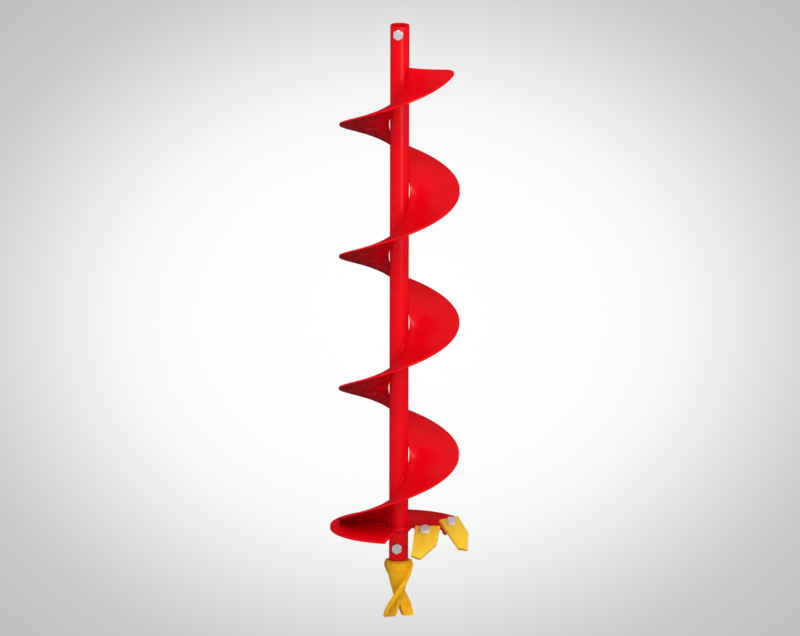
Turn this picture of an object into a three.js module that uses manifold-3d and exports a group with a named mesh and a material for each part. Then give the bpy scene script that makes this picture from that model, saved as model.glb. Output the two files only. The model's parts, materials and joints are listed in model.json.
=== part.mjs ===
// A soil auger for a drilling machine: a steel tube with a welded right-hand flight, a head disc
// with two bolted blades, and a twisted pilot point pinned in the tube's lower end. The tube is
// butt-welded from two lengths and a socket end.
// Millimetres, +Z up. The parts are built with z = 0 at the tube's lower end, and the whole auger
// is then lowered, so that the origin is the centre of the drive socket's mouth.
import * as THREE from "three";
import { mergeVertices } from "three/addons/utils/BufferGeometryUtils.js";
import Module from "manifold-3d";

const wasm = await Module();
wasm.setup();

// Clearance that welded or seated neighbours keep.
const GAP = 0.3;

// Shaft tube: 3/4 inch pipe over a 20 mm spindle.
const TUBE = { length: 770, radius: 13.45, boreRadius: 10.25, sides: 48 };
const TUBE_JOINTS = { lower: 350, socket: 700 };

// Flight: thin plate wound up the tube, one section for each turn.
const FLIGHT = { radius: 84.5, rootGap: 1.3, plate: 2.5, pitch: 190, cornerRadius: 11 };
const FLIGHT_LOW_ANGLE = -184;
const FLIGHT_LOW_HEIGHT = 49.4;
const FLIGHT_LOW_SWEEP = 176;
const FULL_TURNS = 3;
// The last turn stops short of a full one, and more so at the tube than at the rim.
const FLIGHT_END_TRIM = 4;
const FLIGHT_END_SKEW = 6;
const FLIGHT_SKEW_POWER = 8;
const SECTION_GAP_ANGLE = 0.5;
const FLIGHT_STEP = 8;
const FLIGHT_RINGS = 3;
const CORNER_STEPS = 6;

// Stitch welds hold the flight to the tube at the front and the back of each turn.
const STITCH = {
  leg: 3, halfSweep: 32, firstAngle: -82, spacing: 180, count: 7, steps: 12,
  endTaper: 0.7, taperPower: 4, crown: 0.35,
};

// Head: the disc and all that is bolted to it, turned together about the tube.
const HEAD_TURN = 8;
const DISC = {
  radius: 96, top: 48.5, plate: 4, hubRadius: 18, endAngle: 258.5, hubEndAngle: 350, arcSteps: 90,
};
const NOTCH = { setIn: 2.5, y: 2 };
const LIP = { length: 21, drop: 34, plate: 4, sideRelief: 3 };
const INNER_LIP = { x: 23.2, y: -14.9, turn: 0, side: 0 };
const OUTER_LIP = { x: 55.6, y: 20.5, turn: 43, side: 2 };

// Blade: one plate outline, used twice. u runs along the lip, v away from the disc.
const BLADE = { width: 34.9, plate: 4, holeU: 13.9, holeV: 9 };
const BLADE_CORNERS = [[0, 0], [BLADE.width, 0], [29.7, 33.9], [6.9, 61.5], [-5.7, 55.7]];

// Welds at the head: a fillet round the tube and a bead where the flight lands.
const RING_WELD = { leg: 3.5, crown: 0.6 };
const LANDING_WELD = { leg: 3, from: 20, rimRelief: 3, crown: 0.6, crownRise: 0.4, rise: 0.8 };

// M8 fasteners.
const M8 = { radius: 4, holeRadius: 4.3, acrossFlats: 13, head: 5.3, nut: 6.5, sides: 24 };
const WASHER = { radius: 7.5, plate: 1.6 };
const CROSS_BOLT_LENGTH = 40;
const BLADE_BOLT_LENGTH = 22;
const DRIVE_BOLT_DEPTH = 11;
const PILOT_BOLT_HEIGHT = 18.5;

// Pilot point: a lipped cone, and through it a twisted plate that ends in two prongs.
const PILOT = {
  length: 81, shank: 50, shankOverlap: 3, twist: 1.935, sides: 36, steps: 30,
  topRadius: 15.6, lipRadius: 18.4, lipDepth: 2.6, coneRadius: 17.8, coneDepth: 71.6, conePower: 1.42,
  halfPlate: 4, halfWidth: 20.6, topRelief: 2.6, topReliefDepth: 6, prongSpread: 0.7,
  notchDepth: 18, notchHalfWidth: 6.5, notchFlare: 1.5,
};
// Shares of a quarter ring's points that lie on the plate's edge, and up to its root in the cone.
const PILOT_EDGE_SHARE = 2 / 9;
const PILOT_ROOT_SHARE = 5 / 9;
const PILOT_WIDEST_ROOT = 84;

const RED = { color: 0xd2000f, roughness: 0.42, metalness: 0 };
const YELLOW = { color: 0xf0b400, roughness: 0.45, metalness: 0 };
const ZINC = { color: 0xb9bcc0, roughness: 0.35, metalness: 0.9 };

const radians = THREE.MathUtils.degToRad;

// ---- solids ----

function toSolid(geometry) {
  const bare = geometry.clone();
  bare.deleteAttribute("normal");
  bare.deleteAttribute("uv");
  const merged = mergeVertices(bare, 1e-4);
  return new wasm.Manifold(new wasm.Mesh({
    numProp: 3,
    vertProperties: merged.attributes.position.array,
    triVerts: new Uint32Array(merged.index.array),
  }));
}

function toGeometry(solid) {
  const { vertProperties, triVerts } = solid.getMesh();
  const geometry = new THREE.BufferGeometry();
  geometry.setAttribute("position", new THREE.BufferAttribute(vertProperties, 3));
  geometry.setIndex(new THREE.BufferAttribute(triVerts, 1));
  return geometry;
}

function cut(geometry, ...cutters) {
  const solid = cutters.reduce((rest, cutter) => rest.subtract(toSolid(cutter)), toSolid(geometry));
  return toGeometry(solid);
}

function join(...geometries) {
  return toGeometry(geometries.map(toSolid).reduce((sum, solid) => sum.add(solid)));
}

// A cylinder along +Z from z = low to z = low + height.
function rod(radius, low, height, sides = 32) {
  return new THREE.CylinderGeometry(radius, radius, height, sides)
    .rotateX(Math.PI / 2)
    .translate(0, 0, low + height / 2);
}

function extrude(shape, depth, curveSegments = 12) {
  return new THREE.ExtrudeGeometry(shape, { depth, bevelEnabled: false, curveSegments });
}

// ---- parts ----

function makeMesh(name, geometry, finish) {
  const mesh = new THREE.Mesh(geometry, new THREE.MeshStandardMaterial(finish));
  mesh.name = name;
  return mesh;
}

// A closed profile of [radius, height] corners, turned once round the axis.
function turned(profile) {
  return new THREE.LatheGeometry(profile.map(([r, z]) => new THREE.Vector2(r, z)), TUBE.sides)
    .rotateX(Math.PI / 2);
}

function tubeWall(low, high) {
  const { boreRadius, radius } = TUBE;
  return turned([
    [boreRadius, low], [radius, low], [radius, high], [boreRadius, high], [boreRadius, low],
  ]);
}

function makeTube() {
  const { lower, socket } = TUBE_JOINTS;
  const pointEnd = cut(tubeWall(0, lower), crossHole(PILOT_BOLT_HEIGHT));
  const middle = tubeWall(lower + GAP, socket);
  const socketEnd = cut(tubeWall(socket + GAP, TUBE.length), crossHole(TUBE.length - DRIVE_BOLT_DEPTH));
  return [
    makeMesh("shaft_tube_lower", pointEnd, RED),
    makeMesh("shaft_tube_upper", middle, RED),
    makeMesh("shaft_tube_socket", socketEnd, RED),
  ];
}

// A hole for an M8 bolt right across the tube at a height.
function crossHole(height) {
  return rod(M8.holeRadius, -TUBE.radius * 2, TUBE.radius * 4, M8.sides)
    .rotateX(Math.PI / 2)
    .translate(0, 0, height);
}

function flightHeight(angle) {
  return FLIGHT_LOW_HEIGHT + FLIGHT.pitch * (angle - FLIGHT_LOW_ANGLE) / 360;
}

// Upright thickness of a plate wound at a radius: a steeper plate is cut longer by a plumb line.
function uprightThickness(radius) {
  return FLIGHT.plate * Math.hypot(1, FLIGHT.pitch / (2 * Math.PI * radius));
}

// A block bent round the tube. Each of its corners goes to place(radial, station, up), where
// radial and up run from 0 to 1 and station counts the angular steps.
function bendBlock(rings, steps, place) {
  const block = new THREE.BoxGeometry(1, 1, 1, rings, steps, 1);
  const position = block.attributes.position;
  for (let i = 0; i < position.count; i++) {
    const station = Math.round((position.getY(i) + 0.5) * steps);
    position.setXYZ(i, ...place(position.getX(i) + 0.5, station, position.getZ(i) + 0.5));
  }
  return block;
}

function onHelix(radius, angle, rise) {
  const turn = radians(angle);
  return [radius * Math.cos(turn), radius * Math.sin(turn), flightHeight(angle) + rise];
}

// Angles from low to high in even steps, with short steps over a rounded corner at the top.
function flightAngles(low, high, corner) {
  const cornerSweep = THREE.MathUtils.radToDeg(corner / FLIGHT.radius);
  const sweep = high - cornerSweep - low;
  const steps = Math.round(sweep / FLIGHT_STEP);
  const even = Array.from({ length: steps + 1 }, (_, i) => low + sweep * i / steps);
  if (corner === 0) return even;
  const left = Array.from({ length: CORNER_STEPS }, (_, i) => 1 - (i + 1) / CORNER_STEPS);
  return [...even, ...left.map((share) => high - cornerSweep * share ** 2)];
}

// Outer radius of the flight, drawn in over a round corner at the section's high end.
function outerRadius(angle, high, corner) {
  const fromEnd = radians(high - angle) * FLIGHT.radius;
  if (fromEnd >= corner) return FLIGHT.radius;
  return FLIGHT.radius - corner + Math.sqrt(corner ** 2 - (corner - fromEnd) ** 2);
}

// How far a point is drawn back where the flight's last end is cut askew.
function skewBack(radial, share, corner) {
  return corner === 0 ? 0 : FLIGHT_END_SKEW * (1 - radial) * share ** FLIGHT_SKEW_POWER;
}

function makeFlightSection(name, low, high, corner) {
  const angles = flightAngles(low, high - SECTION_GAP_ANGLE, corner);
  const end = angles[angles.length - 1];
  const inner = TUBE.radius + FLIGHT.rootGap;
  const plate = bendBlock(FLIGHT_RINGS, angles.length - 1, (radial, station, up) => {
    const angle = angles[station];
    const radius = THREE.MathUtils.lerp(inner, outerRadius(angle, end, corner), radial);
    const back = skewBack(radial, (angle - low) / (end - low), corner);
    return onHelix(radius, angle - back, (up - 0.5) * uprightThickness(radius));
  });
  return makeMesh(name, cut(plate, belowDiscTop()), RED);
}

// Everything below the plane on which the lowest flight section lands.
function belowDiscTop() {
  const side = DISC.radius * 4;
  return new THREE.BoxGeometry(side, side, side).translate(0, 0, DISC.top + GAP - side / 2);
}

function makeFlight() {
  const firstFull = FLIGHT_LOW_ANGLE + FLIGHT_LOW_SWEEP;
  const sections = [makeFlightSection("flight_low_section", FLIGHT_LOW_ANGLE, firstFull, 0)];
  for (let turn = 0; turn < FULL_TURNS; turn++) {
    const low = firstFull + 360 * turn;
    const last = turn === FULL_TURNS - 1;
    const high = low + 360 - (last ? FLIGHT_END_TRIM : 0);
    const corner = last ? FLIGHT.cornerRadius : 0;
    sections.push(makeFlightSection(`flight_turn_${turn + 1}`, low, high, corner));
  }
  return sections;
}

// A fillet between the tube and the flight's upper face, over part of a turn.
function makeStitch(number) {
  const { leg, halfSweep, steps, endTaper, taperPower, crown } = STITCH;
  const middle = STITCH.firstAngle + STITCH.spacing * number;
  const inner = TUBE.radius + GAP;
  const seat = uprightThickness(inner) / 2 + GAP;
  const bead = bendBlock(1, steps, (radial, station, up) => {
    const along = 2 * station / steps - 1;
    const reach = leg * (1 - endTaper * Math.abs(along) ** taperPower);
    const radius = inner + reach * radial * (1 - crown * up);
    return onHelix(radius, middle + halfSweep * along, seat + reach * up * (1 - crown * radial));
  });
  return makeMesh(`stitch_weld_${number + 1}`, bead, RED);
}

// Outline of the head disc: a rim, a hub round the tube, and two stepped edges for the lips.
function discShape() {
  const { radius, hubRadius, endAngle, hubEndAngle } = DISC;
  const turn = radians(OUTER_LIP.turn);
  const along = new THREE.Vector2(Math.cos(turn), Math.sin(turn));
  const lipStart = new THREE.Vector2(OUTER_LIP.x, OUTER_LIP.y).addScaledVector(along, -OUTER_LIP.side);
  const reach = lipStart.dot(along);
  const toRim = Math.sqrt(reach ** 2 + radius ** 2 - lipStart.lengthSq()) - reach;
  const rimStart = lipStart.clone().addScaledVector(along, toRim);
  const hubEnd = radians(hubEndAngle);
  const shape = new THREE.Shape();
  shape.moveTo(hubRadius * Math.cos(hubEnd), hubRadius * Math.sin(hubEnd));
  shape.lineTo(INNER_LIP.x - NOTCH.setIn, NOTCH.y);
  shape.lineTo(INNER_LIP.x, INNER_LIP.y);
  shape.lineTo(INNER_LIP.x + BLADE.width, INNER_LIP.y);
  shape.lineTo(lipStart.x, lipStart.y);
  shape.lineTo(rimStart.x, rimStart.y);
  shape.absarc(0, 0, radius, rimStart.angle(), radians(endAngle), false);
  shape.absarc(0, 0, hubRadius, radians(endAngle), hubEnd, false);
  shape.holes.push(new THREE.Path().absarc(0, 0, TUBE.radius + GAP, 0, 2 * Math.PI, true));
  return shape;
}

// Turns a piece built on the plane of a lip (x along the lip, -y away from the disc, z out of the
// blade's face) into that lip's place on the head.
function onLip(geometry, lip) {
  return geometry
    .rotateX(radians(LIP.drop))
    .rotateZ(radians(lip.turn))
    .translate(lip.x, lip.y, DISC.top);
}

function lipPlate(lip) {
  const width = BLADE.width + lip.side - LIP.sideRelief;
  const plate = new THREE.BoxGeometry(width, LIP.length, LIP.plate)
    .translate(width / 2 - lip.side, -LIP.length / 2, -LIP.plate / 2);
  return onLip(plate, lip);
}

// A cylinder through a blade or lip at the bolt's place.
function bladeBore(low, height) {
  return rod(M8.holeRadius, low, height, M8.sides).translate(BLADE.holeU, -BLADE.holeV, 0);
}

function makeDisc() {
  const plate = extrude(discShape(), DISC.plate, DISC.arcSteps).translate(0, 0, DISC.top - DISC.plate);
  const lips = [INNER_LIP, OUTER_LIP];
  const bores = lips.map((lip) => onLip(bladeBore(-LIP.plate * 2, LIP.plate * 3), lip));
  return makeMesh("head_disc", cut(join(plate, ...lips.map(lipPlate)), ...bores), RED);
}

function makeBlade(name, lip) {
  const shape = new THREE.Shape(BLADE_CORNERS.map(([u, v]) => new THREE.Vector2(u, -v)));
  const plate = cut(extrude(shape, BLADE.plate), bladeBore(-BLADE.plate, BLADE.plate * 3));
  return makeMesh(name, onLip(plate.translate(0, 0, GAP), lip), YELLOW);
}

function hexagon(height, low) {
  const corner = M8.acrossFlats / 2 / Math.cos(Math.PI / 6);
  return rod(corner, low, height, 6);
}

// A bolt along -Z: its head stands on z = 0 and its shank runs down.
function boltGeometry(length) {
  return join(hexagon(M8.head, 0), rod(M8.radius, -length, length + M8.head / 2, M8.sides));
}

// A solid with a bolt's hole down its middle.
function bored(geometry) {
  return cut(geometry, rod(M8.holeRadius, -CROSS_BOLT_LENGTH, 2 * CROSS_BOLT_LENGTH, M8.sides));
}

// A washer, its upper face at z = 0, and the nut under it.
function washerGeometry() {
  return bored(rod(WASHER.radius, -WASHER.plate, WASHER.plate));
}

function nutGeometry() {
  return bored(hexagon(M8.nut, -WASHER.plate - GAP - M8.nut));
}

function makeBladeFasteners(name, lip) {
  const place = (geometry, height) => onLip(geometry.translate(BLADE.holeU, -BLADE.holeV, height), lip);
  const under = -LIP.plate - GAP;
  return [
    makeMesh(`${name}_bolt`, place(boltGeometry(BLADE_BOLT_LENGTH), BLADE.plate + 2 * GAP), ZINC),
    makeMesh(`${name}_washer`, place(washerGeometry(), under), ZINC),
    makeMesh(`${name}_nut`, place(nutGeometry(), under), ZINC),
  ];
}

// A bolt across the tube, its head to the front (-Y) and its washer and nut at the back.
function makeCrossFasteners(name, height) {
  const seat = TUBE.radius + GAP;
  const place = (geometry, y) => geometry.rotateX(Math.PI / 2).translate(0, y, height);
  return [
    makeMesh(`${name}_bolt`, place(boltGeometry(CROSS_BOLT_LENGTH), -seat), ZINC),
    makeMesh(`${name}_washer`, place(washerGeometry(), seat), ZINC),
    makeMesh(`${name}_nut`, place(nutGeometry(), seat), ZINC),
  ];
}

// Radius of the pilot point's cone at a depth, with the lip round its top.
function coneRadius(depth) {
  const { lipDepth, lipRadius, topRadius } = PILOT;
  if (depth < lipDepth) return THREE.MathUtils.lerp(topRadius, lipRadius, depth / lipDepth);
  return PILOT.coneRadius * Math.max(0, 1 - (depth / PILOT.coneDepth) ** PILOT.conePower);
}

// Half-width of the twisted plate at a depth.
function plateHalfWidth(depth) {
  const relief = PILOT.topRelief * Math.max(0, 1 - depth / PILOT.topReliefDepth);
  return PILOT.halfWidth - relief + PILOT.prongSpread * (depth / PILOT.length) ** 3;
}

// Direction of a ring's point, from its share of a quarter turn: some points stand on the plate's
// corner and some on its root.
function pointDirection(share, corner, root) {
  const { lerp } = THREE.MathUtils;
  if (share < PILOT_EDGE_SHARE) return lerp(0, corner, share / PILOT_EDGE_SHARE);
  const past = (share - PILOT_EDGE_SHARE) / (PILOT_ROOT_SHARE - PILOT_EDGE_SHARE);
  if (past < 1) return lerp(corner, root, past);
  return lerp(root, Math.PI / 2, (share - PILOT_ROOT_SHARE) / (1 - PILOT_ROOT_SHARE));
}

// The cone and plate as one body, turned by a constant twist (degrees per mm).
function pilotBar() {
  const { halfPlate, length, sides, steps, twist } = PILOT;
  const bar = new THREE.CylinderGeometry(1, 1, 1, sides, steps).rotateX(Math.PI / 2);
  const position = bar.attributes.position;
  for (let i = 0; i < position.count; i++) {
    const [x, y] = [position.getX(i), position.getY(i)];
    const depth = (0.5 - position.getZ(i)) * length;
    const [cone, wide] = [coneRadius(depth), plateHalfWidth(depth)];
    const corner = Math.asin(halfPlate / wide);
    const root = Math.min(Math.asin(Math.min(1, halfPlate / cone)), radians(PILOT_WIDEST_ROOT));
    const share = Math.atan2(Math.abs(y), Math.abs(x)) / (Math.PI / 2);
    const direction = pointDirection(share, corner, root);
    const plate = Math.min(wide, halfPlate / Math.max(Math.sin(direction), 1e-6));
    const out = Math.hypot(x, y) * Math.max(cone, plate);
    const u = Math.sign(x) * out * Math.cos(direction);
    const v = Math.sign(y) * out * Math.sin(direction);
    const turn = radians(-twist * depth);
    const across = u * Math.cos(turn) - v * Math.sin(turn);
    const back = u * Math.sin(turn) + v * Math.cos(turn);
    position.setXYZ(i, across, back, -GAP - depth);
  }
  return bar;
}

// The wedge that splits the bar's end into two prongs.
function pilotNotch() {
  const { length, notchDepth, notchHalfWidth, notchFlare, twist } = PILOT;
  const side = notchHalfWidth * notchFlare;
  const deep = -notchDepth * notchFlare;
  const shape = new THREE.Shape([
    new THREE.Vector2(0, 0), new THREE.Vector2(-side, deep), new THREE.Vector2(side, deep),
  ]);
  const width = PILOT.halfWidth * 4;
  return extrude(shape, width)
    .translate(0, 0, -width / 2)
    .rotateX(Math.PI / 2)
    .rotateZ(radians(-twist * (length - notchDepth / 2)))
    .translate(0, 0, -GAP - length + notchDepth);
}

function makePilot() {
  const overlap = PILOT.shankOverlap;
  const shank = rod(TUBE.boreRadius - GAP, -overlap, PILOT.shank + overlap, TUBE.sides);
  const bar = cut(pilotBar(), pilotNotch());
  return makeMesh("pilot_point", cut(join(bar, shank), crossHole(PILOT_BOLT_HEIGHT)), YELLOW);
}

// Fillet all round the tube under the head disc.
function makeRingWeld() {
  const { leg, crown } = RING_WELD;
  const inner = TUBE.radius + GAP;
  const top = DISC.top - DISC.plate - GAP;
  const ring = turned([
    [inner, top], [inner, top - leg], [inner + leg * crown, top - leg * crown], [inner + leg, top],
    [inner, top],
  ]);
  return makeMesh("disc_ring_weld", ring, RED);
}

// Bead along the line where the lowest flight section lands on the head disc.
function makeLandingWeld() {
  const { leg, from, rimRelief, crown, crownRise, rise } = LANDING_WELD;
  const shape = new THREE.Shape([
    new THREE.Vector2(0, 0), new THREE.Vector2(-leg, 0),
    new THREE.Vector2(-leg * crown, leg * crownRise), new THREE.Vector2(0, leg * rise),
  ]);
  const bead = extrude(shape, FLIGHT.radius - rimRelief - from)
    .rotateX(Math.PI / 2)
    .rotateZ(Math.PI / 2)
    .translate(from, -GAP, DISC.top + GAP)
    .rotateZ(radians(FLIGHT_LOW_ANGLE));
  return makeMesh("landing_weld", bead, RED);
}

// ---- assembly ----

const head = new THREE.Group();
head.rotation.z = radians(HEAD_TURN);
head.add(
  makeDisc(),
  makeBlade("inner_blade", INNER_LIP),
  makeBlade("outer_blade", OUTER_LIP),
  ...makeBladeFasteners("inner_blade", INNER_LIP),
  ...makeBladeFasteners("outer_blade", OUTER_LIP),
);

const auger = new THREE.Group();
auger.position.z = -TUBE.length;
auger.add(
  ...makeTube(),
  ...makeFlight(),
  ...Array.from({ length: STITCH.count }, (_, number) => makeStitch(number)),
  head,
  makeRingWeld(),
  makeLandingWeld(),
  makePilot(),
  ...makeCrossFasteners("pilot", PILOT_BOLT_HEIGHT),
  ...makeCrossFasteners("drive", TUBE.length - DRIVE_BOLT_DEPTH),
);

export default auger;
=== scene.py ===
"""A soil auger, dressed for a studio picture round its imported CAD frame.

Run as a script, it registers its operators, builds each piece in the frame's own place, and sets up
the floor, the lights and the camera.
"""

import json
import math

import bmesh
import bpy
from bpy.props import FloatProperty, FloatVectorProperty, IntProperty, PointerProperty
from mathutils import Color, Matrix, Vector


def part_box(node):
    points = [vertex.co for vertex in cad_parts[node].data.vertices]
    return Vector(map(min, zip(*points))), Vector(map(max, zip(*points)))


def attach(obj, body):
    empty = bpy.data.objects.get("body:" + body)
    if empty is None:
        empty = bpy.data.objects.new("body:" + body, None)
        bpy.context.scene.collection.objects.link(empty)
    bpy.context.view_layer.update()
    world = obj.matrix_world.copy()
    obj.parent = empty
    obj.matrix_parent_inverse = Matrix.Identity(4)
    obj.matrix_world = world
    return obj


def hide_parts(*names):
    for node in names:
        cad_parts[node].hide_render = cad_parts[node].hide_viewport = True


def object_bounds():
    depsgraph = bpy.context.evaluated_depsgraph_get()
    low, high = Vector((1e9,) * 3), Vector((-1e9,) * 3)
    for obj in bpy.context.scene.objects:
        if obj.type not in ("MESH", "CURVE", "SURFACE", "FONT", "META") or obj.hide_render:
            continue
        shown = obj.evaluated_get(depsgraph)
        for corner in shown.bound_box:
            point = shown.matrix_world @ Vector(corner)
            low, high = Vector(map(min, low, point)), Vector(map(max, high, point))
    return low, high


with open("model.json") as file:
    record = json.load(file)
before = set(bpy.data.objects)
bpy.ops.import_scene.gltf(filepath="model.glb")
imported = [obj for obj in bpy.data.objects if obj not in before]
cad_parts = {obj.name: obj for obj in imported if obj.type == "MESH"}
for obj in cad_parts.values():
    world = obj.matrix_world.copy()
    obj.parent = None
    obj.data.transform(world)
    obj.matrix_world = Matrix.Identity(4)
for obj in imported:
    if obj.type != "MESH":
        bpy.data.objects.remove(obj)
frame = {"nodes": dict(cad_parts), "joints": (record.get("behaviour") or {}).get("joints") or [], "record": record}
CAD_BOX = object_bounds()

bl_info = {
    "name": "Soil Auger",
    "version": (1, 0, 0),
    "blender": (4, 5, 0),
    "location": "View3D > Sidebar > Auger",
    "description": "Builds the pieces, finishes and studio of a soil auger round its CAD frame",
    "category": "Object",
}

MM = 0.001
FULL_TURN = 2 * math.pi

BODY_OF = {
    node: body
    for body, nodes in frame["record"]["behaviour"]["bodies"].items()
    for node in nodes
}
SLOT_OF = {part["node"]: part["material_slot"] for part in frame["record"]["subparts"]}
JOINT_OF = {joint["child"]: joint for joint in frame["joints"]}

TUBE_NODES = ("shaft_tube_lower", "shaft_tube_upper", "shaft_tube_socket")
FLIGHT_NODES = ("flight_low_section", "flight_turn_1", "flight_turn_2", "flight_turn_3")
STITCH_COUNT = sum(node.startswith("stitch_weld_") for node in frame["nodes"])
TUBE_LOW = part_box(TUBE_NODES[0])[0]
TUBE_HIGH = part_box(TUBE_NODES[-1])[1]
TUBE_RADIUS = TUBE_HIGH.x
DISC_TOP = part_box("landing_weld")[0].z
UP = Vector((0, 0, 1))
AHEAD = Vector((0, -1, 0))
FASTENED = ("inner_blade", "outer_blade", "pilot", "drive")

# The gap from the tube to the pilot's cone, and the easing of its shank's end and of washers.
CONE_GAP = 0.3 * MM
SHANK_EASE = 0.5 * MM
WASHER_EASE = 0.3 * MM
# A head or nut: its chamfer's slope, and its round face as a share of its width.
CHAMFER_SLOPE = math.tan(math.radians(30))
FACE_SHARE = 0.93
# How steeply a thread's flanks rise, and how flat its crest is.
FLANK = 2.6
CREST = 0.15
ROWS_PER_THREAD = 8
# How closely the skew of the flight's top end keeps to that end.
SKEW_POWER = 8
# A weld bead, in shares of its radius: how far its middle stands off the faces of its corner, or
# behind the landing's line and above the disc; how much open ends taper; and how uneven it is.
BEAD_SEAT = 0.3
LANDING_SEAT = (0.25, 0.2)
END_THINNING = 0.7
UNEVENNESS = 0.16
# The furthest turn from the plate's edge at which the plate meets the cone.
WIDEST_ROOT = math.radians(84)

FINISH_OF = {"red_enamel": "red_spray", "yellow_enamel": "yellow_spray", "zinc_steel": "zinc_plate"}
# The roughness and specular level of each enamel, and how far the roughness strays.
RED_GLOSS = (0.24, 0.15)
YELLOW_GLOSS = (0.42, 0.06)
GLOSS_SPREAD = 0.14
# Scales of the enamel's blotches and specks, and the part of their range that shows.
BLOTCHES = 26.0
SPECKS = 150.0
TONE_SHOWN = (0.42, 0.68)
# How far a face looks down before painted shade starts on it, and the streaks in which that shade shows.
DOWNWARD = (0.12, 0.4)
STREAKS_SHOWN = (0.1, 0.72)
# How quickly the streaks change round the axis, and away from it.
STREAK_CURL = 0.05
STREAK_REACH = 1.6
# Heights of the enamel's orange peel and of the marks in the zinc.
PEEL = 0.12 * MM
ZINC_MARKS = 0.05 * MM
ZINC_METAL = 0.45

# Each lamp's degrees right of the camera and above the horizon, its distance and its size.
KEY_PLACE = (-12, 48, 2.4, 0.5)
SIDE_PLACE = (24, 10, 2.2, 1.4)
# The brightest part of the studio, in degrees right of the camera and above the horizon.
BRIGHT_WAY = (24, 55)
# The cosines to that way between which the studio fades, then the same and the dark in gloss.
LIGHT_FADE = (-0.45, 0.6)
MIRROR_FADE = (-0.1, 0.95)
MIRROR_DARK = 0.02
# The floor's painted pool of light: its glow from the middle of the view outwards, where 1 is the view's edge.
FLOOR_GLOW_POOL = ((0.0, 1.0), (0.4, 0.985), (0.55, 0.965), (0.7, 0.92), (0.83, 0.83), (0.94, 0.745),
               (1.07, 0.645), (1.17, 0.585), (1.42, 0.52))
FLOOR_REACH = 1.5


# ---- settings ----


def settings_of(kind, **limits):
    """A function that makes a setting from its name, its default and a description."""
    return lambda name, default, description: kind(
        name=name, description=description, default=default, **limits)


distance = settings_of(FloatProperty, min=0, subtype="DISTANCE", unit="LENGTH", precision=5)
share = settings_of(FloatProperty, min=0, max=1, subtype="FACTOR")
number = settings_of(FloatProperty)
count = settings_of(IntProperty, min=3)
colour = settings_of(FloatVectorProperty, min=0, max=1, size=3, subtype="COLOR")


def angle(name, degrees, description):
    make = settings_of(FloatProperty, subtype="ANGLE", unit="ROTATION")
    return make(name, math.radians(degrees), description)


class AugerTubeSettings(bpy.types.PropertyGroup):
    wall: distance("Wall", 3.2 * MM, "Thickness of the tube's wall")
    rim: distance("Rim rounding", 0.7 * MM, "Rounding of the tube's two ends")
    sides: count("Sides", 96, "Faces round the tube")
    hole: distance("Cross hole", 4.3 * MM, "Radius of the holes for the cross bolts")


class AugerFlightSettings(bpy.types.PropertyGroup):
    start: angle("Start", -184, "Angle at which the lowest section lands on the head disc")
    low_sweep: angle("Low sweep", 176, "Angle that the lowest section winds through")
    pitch: distance("Pitch", 190 * MM, "Rise of one full turn")
    rise: distance("Start rise", 0.9 * MM, "Height of the start's middle above the disc's top face")
    root_gap: distance("Root gap", 1.3 * MM, "Gap between the tube and the flight's inner edge")
    radius: distance("Radius", 84.5 * MM, "Outer radius of the flight")
    plate: distance("Plate", 2.5 * MM, "Thickness of the flight's plate")
    trim: angle("Top trim", 4, "Angle by which the last turn stops short")
    skew: angle("Top skew", 6, "How much further the last turn is cut back at the tube")
    corner: distance("Top corner", 11 * MM, "Rounding of the flight's top end")
    edge: distance("Edge", 0.5 * MM, "Rounding of the plate's edges")
    stations: count("Steps", 420, "Steps of a full turn")
    columns: count("Columns", 14, "Steps from the tube to the rim")


class AugerHeadSettings(bpy.types.PropertyGroup):
    edge: distance("Disc edge", 0.6 * MM, "Rounding of the head disc's edges")
    blade_edge: distance("Blade edge", 0.35 * MM, "Rounding of the blades' edges")


class AugerPilotSettings(bpy.types.PropertyGroup):
    top: distance("Top", 15.6 * MM, "Radius of the cone's top edge")
    lip: distance("Lip", 18.4 * MM, "Radius of the lip round the cone's top")
    lip_depth: distance("Lip depth", 2.6 * MM, "Depth of the lip under the tube")
    cone: distance("Cone", 17.8 * MM, "Radius of the cone where it leaves the tube")
    cone_depth: distance("Cone depth", 71.6 * MM, "Depth at which the cone ends")
    cone_power: number("Cone shape", 1.42, "Power of the cone's taper, where 1 is straight")
    plate: distance("Plate", 4 * MM, "Half-thickness of the twisted plate")
    width: distance("Plate width", 20.6 * MM, "Half-width of the twisted plate")
    relief: distance("Corner relief", 2.6 * MM, "How far the plate's top corners are drawn in")
    relief_depth: distance("Relief depth", 6 * MM, "Depth of the plate's drawn-in corners")
    spread: distance("Spread", 0.7 * MM, "How far the prongs spread past the plate")
    twist: angle("Twist", 156.735, "Turn of the plate from the tube to the prongs")
    shank: distance("Shank", 9.95 * MM, "Radius of the shank inside the tube")
    notch_depth: distance("Notch depth", 18 * MM, "Depth of the notch between the prongs")
    notch: distance("Notch", 6.5 * MM, "Half-width of the notch at the prongs' ends")
    flare: number("Notch flare", 1.5, "How far the notch's cutter runs past the prongs")
    edge: distance("Edge", 0.4 * MM, "Rounding of the plate's edges")
    sides: count("Sides", 36, "Points round a quarter of the bar")
    steps: count("Steps", 110, "Sections along the bar")


class AugerFastenerSettings(bpy.types.PropertyGroup):
    flats: distance("Across flats", 13 * MM, "Width of a head or nut across its flats")
    head: distance("Head", 5.3 * MM, "Height of a bolt's head")
    nut: distance("Nut", 6.5 * MM, "Height of a nut")
    shank: distance("Shank radius", 4 * MM, "Radius over a bolt's thread")
    bore: distance("Nut bore", 4.06 * MM, "Radius of a nut's bore")
    washer_bore: distance("Washer bore", 4.3 * MM, "Radius of a washer's bore")
    thread_pitch: distance("Thread pitch", 1.25 * MM, "Rise of the thread in one turn")
    thread_depth: distance("Thread depth", 0.6 * MM, "Depth of the thread")
    blade_length: distance("Blade bolt", 22 * MM, "Length of a blade bolt under its head")


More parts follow.
